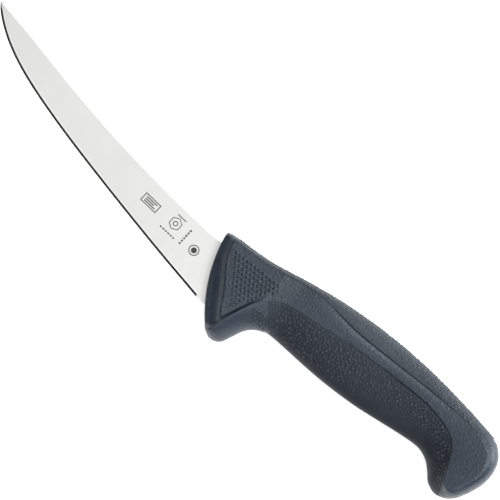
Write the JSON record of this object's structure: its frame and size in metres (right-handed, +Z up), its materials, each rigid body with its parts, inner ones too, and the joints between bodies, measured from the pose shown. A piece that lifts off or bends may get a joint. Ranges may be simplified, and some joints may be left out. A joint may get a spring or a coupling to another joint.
{
  "type": "boning knife",
  "caption": "Curved boning knife: ground steel blade, hard plastic handle core with finger guard and hooked butt, soft pebbled grips on spine and belly.",
  "frame": {"origin": "on the surface that the knife lies on, under the middle of its box", "axes": "+X from the blade's tip to the butt, +Y from the edge towards the spine, +Z up out of the left flank"},
  "size_m": [0.2936, 0.0553, 0.022],
  "materials": {
    "steel": "satin ground along the blade's width, with a ground edge bevel",
    "hard_plastic": "fine spark-eroded matte grain",
    "soft_grip": "pebbled soft-touch skin"
  },
  "bodies": {
    "root": {"blade": "steel", "handle_core": "hard_plastic", "spine_grip": "soft_grip", "belly_grip": "soft_grip"}
  },
  "joints": []
}
